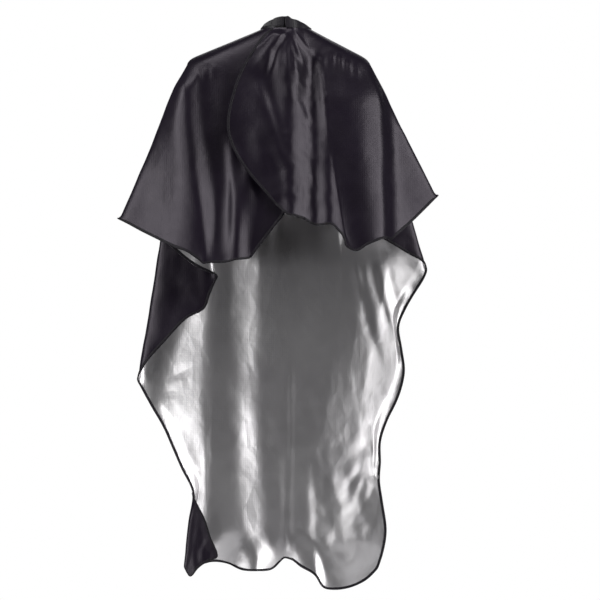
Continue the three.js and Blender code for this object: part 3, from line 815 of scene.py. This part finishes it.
class Look:
    """A procedural material, built up on the principled shader."""

    def __init__(self, name):
        self.material = bpy.data.materials.new(name)
        self.material.use_nodes = True
        self.tree = self.material.node_tree
        self.shader = self.tree.nodes["Principled BSDF"]
        self.coord = self.node("ShaderNodeTexCoord").outputs["Object"]

    def node(self, kind, **settings):
        made = self.tree.nodes.new(kind)
        for key, value in settings.items():
            if hasattr(made, key):
                setattr(made, key, value)
            else:
                made.inputs[key].default_value = value
        return made

    def link(self, source, target):
        self.tree.links.new(source, target)

    def set(self, **values):
        for key, value in values.items():
            self.shader.inputs[key.replace("_", " ")].default_value = value

    def scaled(self, x, y, z):
        made = self.node("ShaderNodeMapping")
        made.inputs["Scale"].default_value = (x, y, z)
        self.link(self.coord, made.inputs["Vector"])
        return made.outputs["Vector"]

    def noise(self, scale, detail):
        made = self.node("ShaderNodeTexNoise", Scale=scale, Detail=detail, Roughness=0.5)
        self.link(self.coord, made.inputs["Vector"])
        return made.outputs["Fac"]

    def creases(self, scale, vector=None):
        made = self.node("ShaderNodeTexVoronoi", feature="DISTANCE_TO_EDGE", Scale=scale)
        bent = self.node("ShaderNodeVectorMath", operation="MULTIPLY_ADD")
        warp = self.node("ShaderNodeTexNoise", Scale=scale * 0.8, Detail=2.0)
        self.link(vector or self.coord, warp.inputs["Vector"])
        self.link(warp.outputs["Color"], bent.inputs[0])
        bent.inputs[1].default_value = (0.5 / scale,) * 3
        self.link(vector or self.coord, bent.inputs[2])
        self.link(bent.outputs["Vector"], made.inputs["Vector"])
        return made.outputs["Distance"]

    def weave(self, size):
        """Threads over and under one another; the pattern repeats every 2 pi times size, in metres."""
        made = []
        for direction in ("X", "Z"):
            band = self.node("ShaderNodeTexWave", bands_direction=direction,
                             Scale=0.5 / size / math.pi * WAVE_PERIOD, Distortion=0.4)
            band.inputs["Detail Scale"].default_value = 2.0
            self.link(self.coord, band.inputs["Vector"])
            made.append(band.outputs["Fac"])
        both = self.node("ShaderNodeMath", operation="MULTIPLY")
        self.link(made[0], both.inputs[0])
        self.link(made[1], both.inputs[1])
        return both.outputs["Value"]

    def colour(self, source, dark, light):
        """The base colour, clouded from dark to light by the source."""
        made = self.node("ShaderNodeValToRGB")
        for element, place, colour in zip(made.color_ramp.elements, CLOUD_RANGE, (dark, light)):
            element.position = place
            element.color = (*colour, 1)
        self.link(source, made.inputs["Fac"])
        self.link(made.outputs["Color"], self.shader.inputs["Base Color"])

    def bump(self, *layers):
        """Layers of (height, distance in metres, strength)."""
        last = None
        for height, distance, strength in layers:
            made = self.node("ShaderNodeBump", Distance=distance, Strength=strength)
            self.link(height, made.inputs["Height"])
            if last:
                self.link(last, made.inputs["Normal"])
            last = made.outputs["Normal"]
        self.link(last, self.shader.inputs["Normal"])

    def spread(self, source, low, high, target):
        """One of the shader's values, from low to high by the source."""
        made = self.node("ShaderNodeMapRange")
        made.inputs["To Min"].default_value = low
        made.inputs["To Max"].default_value = high
        self.link(source, made.inputs["Value"])
        self.link(made.outputs["Result"], self.shader.inputs[target])


def black_nylon():
    look = Look("black_nylon")
    look.colour(look.noise(9.0, 5.0), (0.0042, 0.0026, 0.0060), (0.0084, 0.0056, 0.0116))
    look.spread(look.noise(40.0, 4.0), 0.30, 0.44, "Roughness")
    look.set(Specular_IOR_Level=0.34, Specular_Tint=(0.98, 0.9, 1.0, 1.0), Sheen_Weight=0.03,
             Sheen_Roughness=0.4, Sheen_Tint=(0.75, 0.7, 0.9, 1.0))
    look.bump((look.noise(60.0, 6.0), 0.0009, 0.55),
              (look.creases(26.0, look.scaled(1.0, 1.0, 0.55)), 0.0012, 0.25),
              (look.weave(0.0007), 0.00012, 0.5))
    return look.material


def silver_coat():
    look = Look("silver_coating")
    look.colour(look.noise(7.0, 5.0), (0.46, 0.448, 0.46), (0.56, 0.55, 0.555))
    look.spread(look.noise(34.0, 4.0), 0.28, 0.37, "Roughness")
    look.set(Metallic=0.9, Specular_IOR_Level=0.5)
    look.bump((look.noise(46.0, 6.0), 0.0010, 0.5),
              (look.creases(30.0, look.scaled(1.0, 1.0, 0.6)), 0.0018, 0.36),
              (look.weave(0.0007), 0.00010, 0.4))
    return look.material


def woven_tape():
    look = Look("binding_tape")
    look.colour(look.noise(60.0, 3.0), (0.0034, 0.0024, 0.0046), (0.0076, 0.0056, 0.0096))
    look.spread(look.noise(120.0, 2.0), 0.5, 0.7, "Roughness")
    look.set(Sheen_Weight=0.02, Sheen_Roughness=0.5, Specular_IOR_Level=0.22)
    look.bump((look.weave(0.0011), 0.00025, 0.7), (look.noise(300.0, 2.0), 0.0002, 0.4))
    return look.material


def band_cloth():
    look = Look("neckband_cloth")
    look.colour(look.noise(30.0, 4.0), (0.0046, 0.0034, 0.0062), (0.0092, 0.0068, 0.0116))
    look.spread(look.noise(80.0, 3.0), 0.42, 0.6, "Roughness")
    look.set(Sheen_Weight=0.03, Sheen_Roughness=0.45, Specular_IOR_Level=0.34)
    look.bump((look.noise(110.0, 5.0), 0.0007, 0.6), (look.weave(0.0008), 0.00018, 0.6))
    return look.material


def pile(name, dark, light, scale, depth):
    """The hooks or loops of a hook-and-loop patch."""
    look = Look(name)
    look.colour(look.noise(scale * 0.4, 4.0), dark, light)
    look.set(Roughness=0.92, Sheen_Weight=0.35, Sheen_Roughness=0.6)
    look.bump((look.creases(scale), depth, 0.9), (look.noise(scale * 2.0, 4.0), depth * 0.6, 0.8))
    return look.material


def thread_look():
    look = Look("thread")
    look.colour(look.noise(400.0, 2.0), (0.008, 0.007, 0.009), (0.02, 0.018, 0.022))
    look.set(Roughness=0.5)
    look.bump((look.noise(2500.0, 2.0), 0.0001, 0.5))
    return look.material


LOOKS = {
    "black_nylon": black_nylon(), "silver_coating": silver_coat(), "edge_binding": woven_tape(),
    "neckband_tape": band_cloth(),
    "hook_tape": pile("hook_pile", (0.006, 0.005, 0.007), (0.02, 0.018, 0.022), 900.0, 0.0004),
    "loop_tape": pile("loop_pile", (0.007, 0.0062, 0.008), (0.018, 0.0165, 0.02), 700.0, 0.0005),
}
THREAD_LOOK = thread_look()


def dress(piece, slot, material=None):
    """Gives a piece its material, which is the slot's own unless another is given."""
    piece.data.materials.append(material or LOOKS[slot])


for piece in cloth.values():
    dress(piece, "black_nylon")
for piece in coating.values():
    dress(piece, "silver_coating")
for tape_piece, thread in edges.values():
    dress(tape_piece, "edge_binding")
    dress(thread, "edge_binding", THREAD_LOOK)
for piece in (band_ring, band_under, band_over, tab):
    dress(piece, "neckband_tape")
for piece in band_threads + tab_threads:
    dress(piece, "neckband_tape", THREAD_LOOK)
dress(hook, "hook_tape")
dress(loop, "loop_tape")


# ---- the CAD parts that these pieces are drawn in place of are hidden ----
def cad(prefix, *stretches):
    """The names of the CAD nodes of these stretches."""
    return [prefix + s for s in stretches]


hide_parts(*cad("cloth_", *MAIN))
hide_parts(*cad("lining_", *MAIN))
for flap in ("overlap", "underlap"):
    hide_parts("cloth_" + flap)
    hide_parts("lining_" + flap)
    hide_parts("binding_" + flap + "_edge")
    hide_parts("binding_" + flap + "_hem")
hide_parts("cloth_corner_fold")
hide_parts("lining_corner_fold")
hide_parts("binding_corner_fold")
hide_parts("binding_front_left", "binding_left_pleat", "binding_drape_left")
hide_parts("binding_drape_mid_left", "binding_drape_mid_right", "binding_drape_right",
            "binding_right_pleat", "binding_front_right")
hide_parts("neckband_ring")
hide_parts("neckband_underlap_end")
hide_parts("neckband_overlap_end")
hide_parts("closure_tab")
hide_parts("hook_patch")
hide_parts("loop_strip")

# ---- bodies ----
cape_edges = [*edges["hem_upper"], *edges["hem_lower"], *edges["corner"]]
on_cape = [cloth["main"], coating["main"], cloth["corner"], coating["corner"], band_ring, loop,
           *band_threads, *cape_edges]
for piece in on_cape:
    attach(piece, "cape")
for piece in (tab, hook, *tab_threads):
    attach(piece, "tab")


def bend_span(top, bottom, side, width):
    """start and end of a bend that begins on the line from top to bottom and runs to the given side."""
    top, bottom = np.array(top) * MM, np.array(bottom) * MM
    along = unit(bottom - top)
    across = np.array([side, 0.0, 0.0])
    across = unit(across - along * (across @ along))
    middle = (top + bottom) / 2
    return tuple(middle), tuple(middle + across * width * MM)


OVER_BEND, UNDER_BEND = 15, 10  # mm across each flap's bend span, which is worked out here but not used to bend anything
spans = {
    "overlap": bend_span(neck_point(SEAM_OVER), STRETCHES["front_right"][4][-1], -1, OVER_BEND),
    "underlap": bend_span(neck_point(SEAM_UNDER), STRETCHES["front_left"][4][0], 1, UNDER_BEND),
}
band_ends = {"overlap": band_over, "underlap": band_under}
for flap, (start, end) in spans.items():
    pieces = [cloth[flap], coating[flap], *edges["slit_" + flap], *edges["hem_" + flap], band_ends[flap]]
    for piece in pieces:
        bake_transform(piece)

# ---- floor, light and background ----
FLOOR_Z = -1.22
bpy.ops.mesh.primitive_circle_add(vertices=128, radius=0.78, fill_type="NGON", location=(0, 0, FLOOR_Z))
floor = bpy.context.object
floor.name = "floor"
floor_look = bpy.data.materials.new("floor")
floor_look.use_nodes = True
floor_shader = floor_look.node_tree.nodes["Principled BSDF"]
floor_shader.inputs["Base Color"].default_value = (0.86, 0.86, 0.87, 1)
floor_shader.inputs["Roughness"].default_value = 0.9
floor.data.materials.append(floor_look)

world = bpy.data.worlds.new("studio")
bpy.context.scene.world = world
world.use_nodes = True
tree = world.node_tree
room = tree.nodes["Background"]
room.inputs["Color"].default_value = (0.95, 0.94, 1.0, 1)
room.inputs["Strength"].default_value = 0.055
white = tree.nodes.new("ShaderNodeBackground")
white.inputs["Color"].default_value = (1, 1, 1, 1)
white.inputs["Strength"].default_value = 1.0
path = tree.nodes.new("ShaderNodeLightPath")
mix = tree.nodes.new("ShaderNodeMixShader")
tree.links.new(path.outputs["Is Camera Ray"], mix.inputs["Fac"])
tree.links.new(room.outputs["Background"], mix.inputs[1])
tree.links.new(white.outputs["Background"], mix.inputs[2])
tree.links.new(mix.outputs["Shader"], tree.nodes["World Output"].inputs["Surface"])


def area_light(name, at, aim, size, power):
    """A softbox at one place, aimed at another; size in metres, power in watts."""
    data = bpy.data.lights.new(name, "AREA")
    data.shape = "RECTANGLE"
    data.size, data.size_y = size
    data.energy = power
    made = bpy.data.objects.new(name, data)
    made.location = at
    made.rotation_euler = (Vector(aim) - Vector(at)).to_track_quat("-Z", "Y").to_euler()
    bpy.context.scene.collection.objects.link(made)


area_light("softbox_left", (-2.8, -1.3, 0.5), (0, 0, -0.25), (1.2, 3.6), 72)
area_light("softbox_right", (2.8, -1.3, 0.4), (0, 0, -0.25), (1.2, 3.6), 78)
area_light("softbox_front_left", (-2.5, -2.7, 0.1), (0, 0, -0.5), (0.7, 3.2), 17)
area_light("softbox_front_right", (2.5, -2.7, 0.0), (0, 0, -0.6), (0.8, 3.2), 40)
area_light("softbox_behind", (0.4, 2.8, 0.6), (0, 0, -0.5), (2.4, 2.0), 13)
area_light("softbox_top", (-0.7, -1.3, 2.1), (0, 0, -0.2), (1.6, 1.0), 26)

bpy.context.scene.view_settings.view_transform = "Standard"
